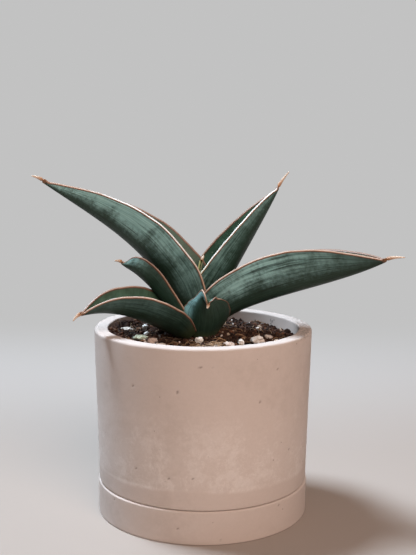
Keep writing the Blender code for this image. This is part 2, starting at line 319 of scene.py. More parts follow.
def makeStage(look):
    # one sheet: floor, then a quarter-round bend, then an upright back, carried straight along X
    bend, back = look["bendRadius"], look["backDistance"]
    turn = np.radians(np.linspace(0, 90, 25))
    arc = [(back - bend + bend * math.sin(a), bend - bend * math.cos(a)) for a in turn]
    line = np.array([(-look["half"], 0), *arc, (back, look["half"])])
    xs = np.array([-look["half"], look["half"]])
    points = np.stack([np.broadcast_to(xs[None, :], (len(line), 2)),
                       np.broadcast_to(line[:, :1], (len(line), 2)),
                       np.broadcast_to(line[:, 1:], (len(line), 2))], -1)
    material, tree, shader = newMaterial("stagePaper")
    coord = addNode(tree, "ShaderNodeTexCoord").outputs["Object"]
    depth = addNode(tree, "ShaderNodeSeparateXYZ", None, {"Vector": coord}).outputs["Y"]
    blend = mapRange(tree, depth, *look["blendDepth"])
    finishSurface(tree, shader, mixColour(tree, blend, look["floorColour"], look["backColour"]), 0.9, 0.2)
    # the back is seen at its own even tone, while the floor keeps its light and the shadow
    rays = addNode(tree, "ShaderNodeLightPath").outputs
    seen = mathNode(tree, "MAXIMUM", rays["Is Camera Ray"], rays["Is Glossy Ray"])
    seen = mathNode(tree, "MAXIMUM", seen, rays["Is Transmission Ray"])
    glow = addNode(tree, "ShaderNodeEmission", {"Color": (*look["seenBack"], 1), "Strength": 1.0})
    both = addNode(tree, "ShaderNodeMixShader", None, {0: multiply(tree, seen, blend)})
    tree.links.new(shader.outputs["BSDF"], both.inputs[1])
    tree.links.new(glow.outputs["Emission"], both.inputs[2])
    tree.links.new(both.outputs["Shader"], tree.nodes["Material Output"].inputs["Surface"])
    stage = meshPiece("stageSheet", points, [gridFaces(len(line), 2, wrapCols=False)], material)


lightLook = {
    # name: place, aim, size, watts, colour, spread
    "skyLeft": ((-0.52, 0.26, 1.25), (0, 0, 0.10), 0.36, 7.6, (0.66, 0.83, 1.0), 80),
    "frontFill": ((0.46, -1.12, 0.92), (0, 0, 0.06), 0.9, 18.0, (1.0, 0.81, 0.70), 180),
}
roomLook = {"colour": (0.86, 0.9, 1.0, 1), "strength": 0.17}


def makeLights(look, room):
    for name, (place, aim, size, watts, colour, spread) in look.items():
        data = bpy.data.lights.new(name, "AREA")
        data.size = size
        data.energy = watts
        data.color = colour
        data.spread = math.radians(spread)
        light = bpy.data.objects.new(name, data)
        light.location = place
        light.rotation_euler = (Vector(aim) - Vector(place)).to_track_quat("-Z", "Y").to_euler()
        bpy.context.scene.collection.objects.link(light)
    world = bpy.data.worlds.new("softRoom")
    bpy.context.scene.world = world
    world.use_nodes = True
    background = world.node_tree.nodes["Background"]
    background.inputs["Color"].default_value = room["colour"]
    background.inputs["Strength"].default_value = room["strength"]


makeCamera(cameraLook)
makeStage(stageLook)
makeLights(lightLook, roomLook)
print("camera, stage and lights made")


# ---- pot and saucer

potLook = {
    "rimRadius": 0.0525, "seamRadius": 0.0506, "height": 0.090, "wall": 0.0064,
    "rimRound": 0.0011, "innerRound": 0.0008, "heel": 0.0004,
    "footRadius": 0.0456, "drainRadius": 0.006, "floorThick": 0.008,
    # pitDepth and pitSize shape the pressed pits; the pit value after them caps the painted shade in their
    # hollows
    "castLine": 0.0243, "castLineRise": 0.0012, "pitDepth": 0.0005, "pitSize": 0.0006, "pitShade": 0.65,
    "turnSteps": 380, "spacing": 0.0007, "hiddenSpacing": 0.003,
    "bodyColour": (0.525, 0.430, 0.378),
    "paleColour": (0.66, 0.585, 0.535),
    "darkColour": (0.475, 0.385, 0.335),
}
saucerLook = {
    "topRadius": 0.0511, "baseRadius": 0.0511, "innerRadius": 0.0463, "height": 0.0157, "floor": 0.005,
    "lip": 0.0007, "innerLip": 0.0006, "heel": 0.0006, "cove": 0.0015,
}


def turnedSurface(name, outline, steps, material, closed, wobble):
    # the outline is carried round Z; wobble(points) returns the moved points and how deep each lies in a pit
    turn = np.linspace(0, 2 * np.pi, steps, endpoint=False)
    r, z = outline[:, 0][:, None], outline[:, 1][:, None]
    points = np.stack([r * np.cos(turn), r * np.sin(turn), z + 0 * turn], -1)
    points, pits = wobble(points)
    rows = len(outline)
    faceSets = [gridFaces(rows, steps, wrapRows=closed)[:, ::-1]]
    flat = points.reshape(-1, 3)
    if not closed:
        flat = np.vstack([flat, [[0, 0, outline[0, 1]], [0, 0, outline[-1, 1]]]])
        pits = np.append(pits, [0, 0])
        ring = np.arange(steps)
        faceSets.append(fanFaces(ring, rows * steps))
        faceSets.append(fanFaces((rows - 1) * steps + ring[::-1], rows * steps + 1))
    return meshPiece(name, flat, faceSets, material, attributes={"pitShade": pits})


def castPits(points, seed, count, zRange, radius, depth):
    # small round air holes pressed into a cast wall: a smooth bowl at each of some seeded places
    rng = np.random.default_rng(seed)
    angle = rng.uniform(0, 2 * np.pi, count)
    height = rng.uniform(zRange[0], zRange[1], count)
    size = radius * rng.uniform(0.5, 1.0, count)
    around = np.arctan2(points[..., 1], points[..., 0])
    out = np.zeros(points.shape[:2])
    wallR = np.hypot(points[..., 0], points[..., 1])
    for a, h, s in zip(angle, height, size):
        gap = np.abs((around - a + np.pi) % (2 * np.pi) - np.pi) * wallR
        distance = np.hypot(gap, points[..., 2] - h)
        out += depth * np.clip(1 - (distance / s) ** 2, 0, 1) ** 0.7
    return out


def pushOut(points, amount):
    radius = np.hypot(points[..., 0], points[..., 1])
    scale = (radius + amount) / np.maximum(radius, 1e-6)
    return np.stack([points[..., 0] * scale, points[..., 1] * scale, points[..., 2]], -1)


def makeConcrete(name, look, smudges, rimDirt):
    material, tree, shader = newMaterial(name)
    coord = addNode(tree, "ShaderNodeTexCoord").outputs["Object"]
    where = addNode(tree, "ShaderNodeSeparateXYZ", None, {"Vector": coord})
    wide = mottle(tree, coord, 22.0, 260.0, 0.35)
    fine = noiseValue(tree, coord, 900.0, 4.0, 0.7)
    colour = mixColour(tree, mapRange(tree, wide, 0.35, 0.68), look["darkColour"], look["bodyColour"])
    colour = mixColour(tree, mapRange(tree, wide, 0.30, 0.52), colour, look["bodyColour"])
    # pale mineral bloom: wisps above a wavy water line low on the wall, fading out upward
    wispShape = {"Scale": 120.0, "Detail": 8.0, "Roughness": 0.80, "Distortion": 0.5}
    wisp = addNode(tree, "ShaderNodeTexNoise", wispShape, {"Vector": coord}).outputs["Fac"]
    cloud = noiseValue(tree, coord, 30.0, 2.0, 0.5)
    waterLine = add(tree, where.outputs["Z"], multiply(tree, cloud, 0.006))
    low = multiply(tree, mapRange(tree, waterLine, 0.0265, 0.0285), mapRange(tree, waterLine, 0.072, 0.040))
    wispMask = mapRange(tree, add(tree, wisp, multiply(tree, cloud, 0.45)), 0.70, 0.84)
    wispMask = multiply(tree, wispMask, multiply(tree, low, 0.7 * smudges))
    colour = mixColour(tree, wispMask, colour, look["paleColour"])
    veil = multiply(tree, low, 0.22 * smudges)
    colour = mixColour(tree, veil, colour, look["paleColour"])
    # a fine crackle of pale lines in the bloom, where a noise crosses its middle value
    crackle = mathNode(tree, "ABSOLUTE", subtract(tree, noiseValue(tree, coord, 210.0, 5.0, 0.68), 0.5))
    crackle = multiply(tree, mapRange(tree, crackle, 0.030, 0.004), mapRange(tree, cloud, 0.42, 0.58))
    crackle = multiply(tree, crackle, multiply(tree, low, 0.55 * smudges))
    colour = mixColour(tree, crackle, colour, look["paleColour"])
    # fine sand grain of the cast surface
    coarse = noiseValue(tree, coord, 380.0, 3.0, 0.7)
    grain = add(tree, multiply(tree, fine, 0.6), multiply(tree, coarse, 0.4))
    colour = mixColour(tree, mapRange(tree, grain, 0.36, 0.64, 0.0, 0.42, False), colour, look["darkColour"])
    # air holes: two sizes made by bump and painted shade in the holes, and painted shade in the hollows of
    # the pressed pits
    smallHoles = pores(tree, coord, 420.0, 0.16, 0.045)
    holes = mathNode(tree, "MAXIMUM", smallHoles, pores(tree, coord, 190.0, 0.10, 0.10))
    dark = mathNode(tree, "MAXIMUM", multiply(tree, holes, 0.8), attributeValue(tree, "pitShade"))
    colour = mixColour(tree, dark, colour, (0.10, 0.075, 0.065))
    if rimDirt:
        # potting dust rubbed onto the top of the rim on the right
        dust = noiseValue(tree, coord, 130.0, 5.0, 0.65)
        speckle = noiseValue(tree, coord, 820.0, 5.0, 0.75)
        top = mapRange(tree, where.outputs["Z"], 0.0882, 0.0896)
        side = mapRange(tree, add(tree, where.outputs["X"], multiply(tree, dust, 0.014)), 0.046, 0.056)
        dustMask = multiply(tree, mapRange(tree, speckle, 0.48, 0.55), multiply(tree, top, side))
        colour = mixColour(tree, multiply(tree, dustMask, 0.72), colour, (0.155, 0.130, 0.112))
        # a hairline crack down the inside of the back wall
        bendy = multiply(tree, subtract(tree, noiseValue(tree, coord, 260.0, 4.0, 0.7), 0.5), 0.009)
        gap = mathNode(tree, "ABSOLUTE", subtract(tree, where.outputs["X"], add(tree, bendy, 0.0352)))
        belowRim = mapRange(tree, where.outputs["Z"], 0.0885, 0.0878)
        crack = multiply(tree, mapRange(tree, gap, 0.00034, 0.00012), belowRim)
        crack = multiply(tree, crack, mathNode(tree, "GREATER_THAN", where.outputs["Y"], 0.02))
        squares = [mathNode(tree, "POWER", where.outputs[axis], 2.0) for axis in ("X", "Y")]
        radius = mathNode(tree, "SQRT", add(tree, *squares))
        crack = multiply(tree, crack, mathNode(tree, "LESS_THAN", radius, 0.0472))
        colour = mixColour(tree, multiply(tree, crack, 0.8), colour, (0.12, 0.11, 0.11))
    finishSurface(tree, shader, colour, mapRange(tree, wide, 0.3, 0.7, 0.92, 0.78, False), 0.3)
    height = subtract(tree, multiply(tree, fine, 0.25), holes)
    bump(tree, shader, height, 0.35, 0.0004)
    return material


def makePot(look, saucer):
    footZ = saucer["floor"] + fitGap
    shoulderZ = saucer["height"] + fitGap
    insideZ = footZ + look["floorThick"]
    rim, top, foot, drain = (look[key] for key in ("rimRadius", "height", "footRadius", "drainRadius"))
    rimRound, innerRound, heel = look["rimRound"], look["innerRound"], look["heel"]
    outline = roundCorner(rim - rimRound, top - rimRound, rimRound, 90, 0, 8)
    outline += roundCorner(look["seamRadius"] - heel, shoulderZ + heel, heel, 0, -90, 4)
    inner = rim - look["wall"]
    slope = (inner - foot + 0.002) / (top - insideZ)
    coverZ = top - 0.012
    # the foot, the drain and the inside under the mix are out of sight, so they have wide rows
    hidden = [outline[-1], (foot, shoulderZ), (foot, footZ + 0.001), (foot - 0.001, footZ), (drain, footZ)]
    hidden += [(drain, insideZ), (foot - 0.002, insideZ), (inner - slope * (top - coverZ), coverZ)]
    upper = [hidden[-1], *roundCorner(inner + innerRound, top - innerRound, innerRound, 180, 90, 6)]
    upper.append(outline[0])
    parts = ((outline, "spacing"), (hidden, "hiddenSpacing"), (upper, "spacing"))
    line = np.vstack([denseProfile(part, look[key])[:-1] for part, key in parts])
    material = makeConcrete("potConcrete", look, 0.75, True)

    def wobble(points):
        amount = 0.00012 * fractalNoise(points, 0.018, 11) + 0.00003 * fractalNoise(points, 0.003, 21, 2)
        radius = np.hypot(points[..., 0], points[..., 1])
        outside = radius > look["seamRadius"] - 0.0008
        pits = castPits(points, 14, 24, (0.020, 0.087), look["pitSize"], look["pitDepth"])
        # the casting line: a faint groove above the seam, a little higher on the front
        turn = np.arctan2(points[..., 0], -points[..., 1])
        lineZ = look["castLine"] + look["castLineRise"] * np.cos(turn)
        groove = 0.00008 * np.exp(-((points[..., 2] - lineZ) / 0.00045) ** 2)
        amount = amount - np.where(outside, pits + groove, 0)
        points = pushOut(points, amount)
        nearTop = np.clip((points[..., 2] - 0.087) / 0.002, 0, 1)
        points[..., 2] += nearTop * 0.00015 * fractalNoise(points, 0.008, 31, 2)
        # the second value is how deep each point lies in a pit, for the painted shade in its hollow
        return points, np.where(outside, np.clip(pits / look["pitDepth"], 0, look["pitShade"]), 0)

    pot = turnedSurface("concretePot", line, look["turnSteps"], material, True, wobble)
    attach(pot, "root")
    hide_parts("pot")


def makeSaucer(look, potValues):
    inner, top, floor = look["innerRadius"], look["height"], look["floor"]
    cove, innerLip, lip, heel = (look[key] for key in ("cove", "innerLip", "lip", "heel"))
    outline = [(0.0005, floor), (inner - cove, floor)]
    outline += roundCorner(inner - cove, floor + cove, cove, -90, 0, 4)
    outline += roundCorner(inner + innerLip, top - innerLip, innerLip, 180, 90, 4)
    outline += roundCorner(look["topRadius"] - lip, top - lip, lip, 90, 0, 6)
    outline += roundCorner(look["baseRadius"] - heel, heel, heel, 0, -90, 6)
    outline += [(0.0005, 0)]
    line = denseProfile(outline, potValues["spacing"])
    material = makeConcrete("saucerConcrete", potValues, 0.9, False)

    def wobble(points):
        upper = np.clip(points[..., 2] / 0.002, 0, 1)
        amount = 0.0001 * fractalNoise(points, 0.016, 41) + 0.00003 * fractalNoise(points, 0.003, 51, 2)
        radius = np.hypot(points[..., 0], points[..., 1])
        outside = radius > look["baseRadius"] - 0.0006
        pits = castPits(points, 9, 5, (0.002, 0.0145), potValues["pitSize"], potValues["pitDepth"])
        pits = np.where(outside, pits, 0)
        # how deep each point lies in a pit, for the painted shade in its hollow
        dark = np.clip(pits / potValues["pitDepth"], 0, potValues["pitShade"])
        return pushOut(points, (amount - pits) * upper), dark

    saucer = turnedSurface("concreteSaucer", line, potValues["turnSteps"], material, False, wobble)
    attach(saucer, "root")
    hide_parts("saucer")


makePot(potLook, saucerLook)
makeSaucer(saucerLook, potLook)
print("pot and saucer made")


# ---- leaves

# lengths in mm; the membrane is how far the thin margin stands above the blade
leafLook = {
    "rows": 150, "spineRows": 26, "bladeEnd": 0.99,
    "edge": 0.9, "keelMost": 6.0, "keelAtBase": 2.2, "keelShare": 0.42, "membrane": 0.55,
    "spineRadius": 1.0, "spineTip": 0.20,
}

# keel points and spine tip in mm, then half width, share at the base, place of the widest section,
# fullness of the taper, section depth by half width (base, tip) and roll in degrees (base, tip, middle);
# at the base, middle and tip: how white the margin is, how thick the bloom together with the painted light
# and shade along the leaf, how bright the margin is under painted shade, and how young and green it is;
# sunny is the side of the outer face that looks up and takes the painted light; grooves are places across
# the outer face
plainLeaf = dict(sunny=1.0, dim=(1, 1, 1), young=(0, 0, 0), grooves=())
leaves = {
    "leaf_left_long": dict(
        plainLeaf, keel=[(-7, 5.5, 86), (-23, 2.5, 126), (-45.5, 15.5, 135), (-78.2, 2.3, 159.4)],
        spine=(-82.0, 0.9, 161.9), half=13, base=0.53, widest=0.2, taper=2, depth=(1.5, 1.64),
        roll=(-12, 15, -2), white=(0.25, 1.0, 0.1), bloom=(0.05, 1.0, 0.9)),
    # low bloom and a darker margin in the middle: painted shadow of leaf_left_long on this leaf
    "leaf_left_short": dict(
        plainLeaf, keel=[(-7.5, -5.5, 87.5), (-31.5, -9.5, 120.5), (-34.5, -2, 115.5), (-39.7, -2, 120.5)],
        spine=(-42.6, -2, 121.7), half=6.5, base=0.6, widest=0.42, taper=1.8, depth=(0.95, 1.35),
        roll=(24, 23, 0), white=(0.1, 0.2, 0.6), bloom=(0.0, 0.08, 1.9), dim=(1, 0.1, 0.9)),
    "leaf_left_low": dict(
        plainLeaf, keel=[(-9, -9, 85), (-24, -17.3, 92), (-36.4, -15, 102.8), (-56, -29.3, 99.8)],
        spine=(-59, -30.5, 97.8), half=12.4, base=0.58, widest=0.22, taper=2.05, depth=(0.92, 1.52),
        roll=(-6, -7, -2), white=(0.1, 0.35, 0.3), bloom=(0.0, 0.14, 0.10), dim=(0.15, 1, 1)),
    "leaf_front_small": dict(
        plainLeaf, keel=[(-0.3, -11.5, 85.5), (2.6, -20.8, 97.6), (0.2, -18.7, 108.9), (1.7, -20.5, 103.8)],
        spine=(1.7, -22.2, 102.6), half=11.3, base=0.75, widest=0.29, taper=1.66, depth=(0.73, 1),
        roll=(-6, -31, -1), white=(0.0, 0.1, 0.2), bloom=(0.45, 0.75, 0.9), sunny=-1.0),
    "leaf_right_long": dict(
        plainLeaf, keel=[(7, -2, 86.5), (6.2, -5.7, 102.7), (60.4, -5.8, 108.8), (83.1, -29.2, 125.9)],
        spine=(90.4, -31, 127.8), half=13.9, base=0.58, widest=0.49, taper=1.84, depth=(1.26, 1.57),
        roll=(1, -9, 0), white=(0.1, 0.0, 0.1), bloom=(0.75, 0.95, 0.08), sunny=-1.0,
        grooves=(-0.68, -0.6, -0.5)),
    "leaf_back_upright": dict(
        plainLeaf, keel=[(1.8, 8.8, 89), (11.4, 14.1, 108.7), (29.7, 5.7, 141.7), (37.1, 16.2, 155.9)],
        spine=(41.8, 16.5, 164), half=12.1, base=0.4, widest=0.21, taper=1.67, depth=(1.49, 1.25),
        roll=(-7, -5, 4), white=(0.8, 1.0, 0.7), bloom=(0.42, 0.42, 0.42), sunny=-1.0, young=(1, 0, 0),
        grooves=(-0.62,)),
    "leaf_centre_new": dict(
        plainLeaf, keel=[(-2, 7.5, 97), (-2.6, 8.4, 105), (-2.4, 9.4, 114), (-0.6, 10, 120.5)],
        spine=(0.2, 10, 123), half=2.1, base=0.9, widest=0.3, taper=1.6, depth=(0.9, 1),
        roll=(0, 0, 0), white=(0.3, 0.3, 0.1), bloom=(0.2, 0.2, 0.2), young=(1, 1, 1)),
}


def keelFrames(leaf, t):
    # a cubic Bezier keel; side is level and square to it, opening is square to both, both rolled about it
    p = np.array(leaf["keel"], float)
    t = t[:, None]
    points = (1 - t) ** 3 * p[0] + 3 * (1 - t) ** 2 * t * p[1] + 3 * (1 - t) * t**2 * p[2] + t**3 * p[3]
    forward = (1 - t) ** 2 * (p[1] - p[0]) + 2 * (1 - t) * t * (p[2] - p[1]) + t**2 * (p[3] - p[2])
    forward /= np.linalg.norm(forward, axis=1)[:, None]
    heading = (p[3] - p[0])[:2] / np.linalg.norm((p[3] - p[0])[:2])
    level = np.array([-heading[1], heading[0], 0])
    side = level - (forward @ level)[:, None] * forward
    side /= np.linalg.norm(side, axis=1)[:, None]
    opening = np.cross(forward, side)
    start, end, middle = leaf["roll"]
    turn = np.radians(start + (end - start) * t + middle * 4 * t * (1 - t))
    rolledSide = np.cos(turn) * side + np.sin(turn) * opening
    rolledOpening = np.cos(turn) * opening - np.sin(turn) * side
    return points, forward, rolledSide, rolledOpening


def leafSection():
    # places across one section: the outer face from margin to margin, then the inner face back,
    # close together near the margins where the coloured edge is
    near = np.array([0, .006, .014, .024, .036, .05, .068, .09, .12, .16, .21, .27, .34, .42, .51, .61,
                     .72, .86])
    outer = np.concatenate([-(1 - near), [0], (1 - near)[::-1]])
    nearIn = np.array([0, .012, .028, .048, .075, .11, .16, .22, .30, .40, .52, .66, .82])
    inner = np.concatenate([(1 - nearIn), [0], -(1 - nearIn)[::-1]])
    return outer, inner


def makeLeafMesh(name, leaf, look, seed, material):
    # outer face: keel + depth s^2 along the opening + width s along the side; the inner face is the
    # same form, raised at the keel and narrower by the edge; a thin margin closes each side; the blade
    # ends in a round spine that tapers along a short curve
    t = np.linspace(0, look["bladeEnd"], look["rows"])
    keel, forward, side, opening = keelFrames(leaf, t)
    widest = leaf["widest"]
    rise = leaf["base"] + (1 - leaf["base"]) * np.sin(np.pi / 2 * np.clip(t / widest, 0, 1))
    fall = 1 - np.clip((t - widest) / (1 - widest), 0, 1) ** leaf["taper"]
    width = leaf["half"] * np.where(t < widest, rise, fall)
    width = np.maximum(width, look["spineRadius"])
    slow = np.stack([t * 9 + seed, 0 * t, 0 * t], -1)
    width = width * (1 + 0.018 * fractalNoise(slow, 1.0, 60 + seed, 2))
    depth = width * (leaf["depth"][0] + (leaf["depth"][1] - leaf["depth"][0]) * t)
    swell = np.clip(t / 0.3, 0, 1)
    swell = swell**2 * (3 - 2 * swell)
    thick = np.minimum(look["keelShare"] * depth, look["keelMost"])
    thick = np.minimum(look["keelAtBase"] + (thick - look["keelAtBase"]) * swell, 0.6 * depth)
    edge = np.minimum(look["edge"], 0.5 * width)
    lift = np.minimum(look["membrane"], 0.35 * width)
    outer, inner = leafSection()
    w, d, k, e, m = (a[:, None] for a in (width, depth, thick, edge, lift))
    ends = np.sin(np.pi * np.clip(t * 1.1, 0, 1))[:, None]
    outY = w * outer
    outZ = d * outer**2
    for place in leaf["grooves"]:
        outZ = outZ + 0.34 * ends * np.exp(-((outer - place) / 0.022) ** 2)
    # shallow lengthwise flutes on the outer face
    outZ = outZ + 0.05 * ends * np.cos(outer * 46 + seed) * (1 - np.abs(outer)) ** 0.3
    inY = (w - e) * inner
    inZ = k + (d - k) * inner**2
    crestY = w - 0.35 * e
    crestZ = d + m
    across = np.concatenate([outY, crestY, inY, -crestY], axis=1)
    up = np.concatenate([outZ, crestZ, inZ, crestZ], axis=1)
    blade = keel[:, None] + across[..., None] * side[:, None] + up[..., None] * opening[:, None]
    # distance from the crest of the nearer margin, in mm, on each face
    cols = across.shape[1]
    nOut, nIn = len(outer), len(inner)

    def fromCrest(y, z):
        left = np.hypot(np.diff(y, axis=1), np.diff(z, axis=1))
        run = np.concatenate([np.zeros((len(y), 1)), np.cumsum(left, axis=1)], axis=1)
        return np.minimum(run, run[:, -1:] - run)

    outEdge = fromCrest(outY, outZ) + np.hypot(0.35 * e, m)
    inEdge = fromCrest(inY, inZ) + np.hypot(0.65 * e, m)
    zero = np.zeros((len(t), 1))
    edgeValue = np.concatenate([outEdge, zero, inEdge, zero], axis=1)
    sValue = np.concatenate([np.broadcast_to(outer, (len(t), nOut)), zero + 1,
                             np.broadcast_to(inner, (len(t), nIn)), zero - 1], axis=1)
    innerValue = np.concatenate([np.zeros((len(t), nOut)), zero + 0.5,
                                 np.ones((len(t), nIn)), zero + 0.5], axis=1)
    # the spine: its rings blend from the last blade section to a circle
    centre = blade[-1].mean(axis=0)
    tip = np.array(leaf["spine"], float)
    length = np.linalg.norm(tip - centre)
    bend = centre + forward[-1] * length * 0.45
    u = np.linspace(0, 1, look["spineRows"] + 1)[1:]
    path = (1 - u)[:, None] ** 2 * centre + 2 * ((1 - u) * u)[:, None] * bend + (u**2)[:, None] * tip
    along = np.gradient(path, axis=0)
    along /= np.linalg.norm(along, axis=1)[:, None]
    sideS = side[-1] - (along @ side[-1])[:, None] * along
    sideS /= np.linalg.norm(sideS, axis=1)[:, None]
    upS = np.cross(along, sideS)
    local = blade[-1] - centre
    ly, lz = local @ side[-1], local @ opening[-1]
    angle = np.unwrap(np.arctan2(lz, ly))
    even = np.linspace(angle[0], angle[0] + np.sign(angle[-1] - angle[0]) * 2 * np.pi, cols, endpoint=False)
    blendIn = np.clip(u / 0.22, 0, 1)
    blendIn = blendIn**2 * (3 - 2 * blendIn)
    radius = look["spineTip"] + (look["spineRadius"] - look["spineTip"]) * (1 - u) ** 0.7
    shrink = (1 - u)[:, None]
    ringY = (1 - blendIn)[:, None] * ly * shrink**0.5 + blendIn[:, None] * radius[:, None] * np.cos(even)
    ringZ = (1 - blendIn)[:, None] * lz * shrink**0.5 + blendIn[:, None] * radius[:, None] * np.sin(even)
    spine = path[:, None] + ringY[..., None] * sideS[:, None] + ringZ[..., None] * upS[:, None]
    points = np.concatenate([blade, spine]) * mm
    rows = len(points)
    flat = points.reshape(-1, 3)
    end = len(flat)
    flat = np.vstack([flat, [tip * mm]])
    # the base is closed by a strip between the two faces, the tip by a fan
    baseStrip = capStrip(list(range(nOut)), list(range(nOut + 1, nOut + 1 + nIn))[::-1], nOut, cols - 1)
    tipFan = fanFaces((rows - 1) * cols + np.arange(cols)[::-1], end)
    faceSets = [gridFaces(rows, cols), baseStrip, tipFan]

    def withSpine(values, spineValues, tipValue):
        # one value for each point of the blade, then of the spine, then of its tip
        tail = np.broadcast_to(spineValues, (look["spineRows"], cols))
        return np.append(np.concatenate([values, tail]).ravel(), tipValue)

    piece = meshPiece(name, flat, faceSets, material, attributes={
        "edgeDistance": withSpine(edgeValue, edgeValue[-1], 0),
        "acrossLeaf": withSpine(sValue, sValue[-1], 0),
        "innerFace": withSpine(innerValue, innerValue[-1], 0),
        "alongLeaf": withSpine(np.repeat(t[:, None], cols, 1), 1, 1),
        "spinePart": withSpine(np.zeros((len(t), cols)), u[:, None], 1)})
    fixOutward(piece)
    return piece


def capStrip(outerIds, innerIds, crestRight, crestLeft):
    # closes the base between the outer run and the inner run, which have different counts
    a = [crestLeft] + outerIds + [crestRight]
    b = innerIds
    faces, i, j = [], 0, 0
    while i < len(a) - 1 or j < len(b) - 1:
        nextA = (i + 1) / (len(a) - 1) if i < len(a) - 1 else 2
        nextB = (j + 1) / (len(b) - 1) if j < len(b) - 1 else 2
        if nextA <= nextB:
            faces.append((a[i], b[j], a[i + 1]))
            i += 1
        else:
            faces.append((a[i], b[j], b[j + 1]))
            j += 1
    return faces


def fixOutward(piece):
    mesh = piece.data
    work = bmesh.new()
    work.from_mesh(mesh)
    bmesh.ops.recalc_face_normals(work, faces=work.faces)
    if work.calc_volume(signed=True) < 0:
        bmesh.ops.reverse_faces(work, faces=work.faces)
    work.to_mesh(mesh)
    work.free()


def makeLeafMaterial(name, leaf, seed):
    material, tree, shader = newMaterial(name)
    edge, across, along, innerFace, spinePart = (attributeValue(tree, key) for key in (
        "edgeDistance", "acrossLeaf", "alongLeaf", "innerFace", "spinePart"))
    coord = addNode(tree, "ShaderNodeTexCoord").outputs["Object"]

    def leafVector(alongScale, acrossScale, offset):
        node = addNode(tree, "ShaderNodeCombineXYZ")
        tree.links.new(multiply(tree, along, alongScale), node.inputs[0])
        tree.links.new(multiply(tree, across, acrossScale), node.inputs[1])
        node.inputs[2].default_value = offset
        return node.outputs[0]

    def alongRamp(key, places):
        # follows the leaf's three values, at these places from base to tip
        return valueRamp(tree, along, list(zip(places, leaf[key])))

    # cross bands and lengthwise streaks of the waxy bloom
    bands = noiseValue(tree, leafVector(17.0, 1.6, seed * 3.7), 1.0, 5.0, 0.62)
    streaks = noiseValue(tree, leafVector(5.0, 34.0, seed * 1.9), 1.0, 4.0, 0.6)
    patches = mottle(tree, coord, 70.0, 700.0, 0.5)
    bloom = add(tree, multiply(tree, bands, 0.5), multiply(tree, patches, 0.35))
    bloom = add(tree, bloom, multiply(tree, streaks, 0.25))
    bloomAndLightMask = mapRange(tree, bloom, 0.34, 0.68, 0.12, 1.0)
    # the bloom mask also paints light: brighter on the half of the outer face that looks up, fading to
    # painted shade below, and each leaf's bloom ramp paints light and shade along it
    bloomAndLightRamp = alongRamp("bloom", (0.0, 0.45, 0.95))
    upward = multiply(tree, across, leaf["sunny"])
    shade = mapRange(tree, add(tree, upward, multiply(tree, patches, 0.4)), 0.65, 1.16, 0.03, 1.5)
    bloomAndLightMask = multiply(tree, bloomAndLightMask, multiply(tree, bloomAndLightRamp, shade), clamp=True)
    deep = mixColour(tree, mapRange(tree, streaks, 0.3, 0.7), (0.009, 0.021, 0.012), (0.020, 0.041, 0.026))
    waxy = mixColour(tree, mapRange(tree, streaks, 0.3, 0.7), (0.150, 0.280, 0.262), (0.300, 0.490, 0.465))
    colour = mixColour(tree, bloomAndLightMask, deep, waxy)
    # the inner face is greener and has no bloom
    inside = mixColour(tree, mapRange(tree, bands, 0.35, 0.7), (0.024, 0.056, 0.030), (0.046, 0.098, 0.060))
    colour = mixColour(tree, mapRange(tree, innerFace, 0.6, 0.9), colour, inside)
    # dark hairlines along the blade
    lineMask = mapRange(tree, streaks, 0.40, 0.34, 0.0, 0.55)
    colour = mixColour(tree, lineMask, colour, (0.014, 0.022, 0.015))
    # base of the blade turns yellow green
    colour = mixColour(tree, mapRange(tree, along, 0.16, 0.0, 0.0, 0.45), colour, (0.11, 0.13, 0.05))
    # margin: dark red-brown line, then tan pink, then the pale membrane
    wander = noiseValue(tree, leafVector(32.0, 3.0, seed * 5.1), 1.0, 3.0, 0.6)
    edgeWavy = add(tree, edge, multiply(tree, subtract(tree, wander, 0.5), 0.45))
    wanderShift = multiply(tree, subtract(tree, wander, 0.5), 0.6)
    whiteness = mapRange(tree, add(tree, alongRamp("white", (0.12, 0.5, 0.95)), wanderShift), 0.25, 0.75)
    # painted light: the pale membrane whitens only on the margin that looks up
    whiteness = multiply(tree, whiteness, mapRange(tree, upward, -0.3, 0.3))
    pale = mixColour(tree, whiteness, (0.42, 0.275, 0.20), (0.74, 0.68, 0.62))
    tan = mixColour(tree, wander, (0.24, 0.125, 0.080), (0.37, 0.225, 0.155))
    # young growth has a yellow green edge
    young = alongRamp("young", (0.12, 0.4, 0.9))
    pale = mixColour(tree, young, pale, (0.50, 0.52, 0.27))
    tan = mixColour(tree, young, tan, (0.27, 0.33, 0.12))
    # painted shade: the margin that looks down, and any stretch of margin under a neighbour's painted
    # shadow, stays brown
    dim = multiply(tree, mapRange(tree, upward, -0.5, 0.5, 0.42, 1.0), alongRamp("dim", (0.1, 0.5, 0.9)))
    brown = mixColour(tree, young, (0.075, 0.027, 0.014), (0.07, 0.10, 0.035))
    colour = mixColour(tree, mapRange(tree, edgeWavy, 1.40, 1.08), colour, brown)
    colour = mixColour(tree, mapRange(tree, edgeWavy, 1.02, 0.84), colour, mixColour(tree, dim, brown, tan))
    membrane = mixColour(tree, dim, (0.16, 0.075, 0.045), pale)
    colour = mixColour(tree, mapRange(tree, edgeWavy, 0.68, 0.54), colour, membrane)
    # spine: tan orange, darker where it leaves the blade, pale at its tip
    nearSpine = mapRange(tree, along, 0.972, 0.988)
    colour = mixColour(tree, multiply(tree, nearSpine, 0.85), colour, (0.17, 0.075, 0.035))
    towardTip = mapRange(tree, spinePart, 0.1, 0.75)
    spineColour = mixColour(tree, towardTip, (0.34, 0.15, 0.06), (0.62, 0.47, 0.36))
    colour = mixColour(tree, mapRange(tree, spinePart, 0.0, 0.12), colour, spineColour)
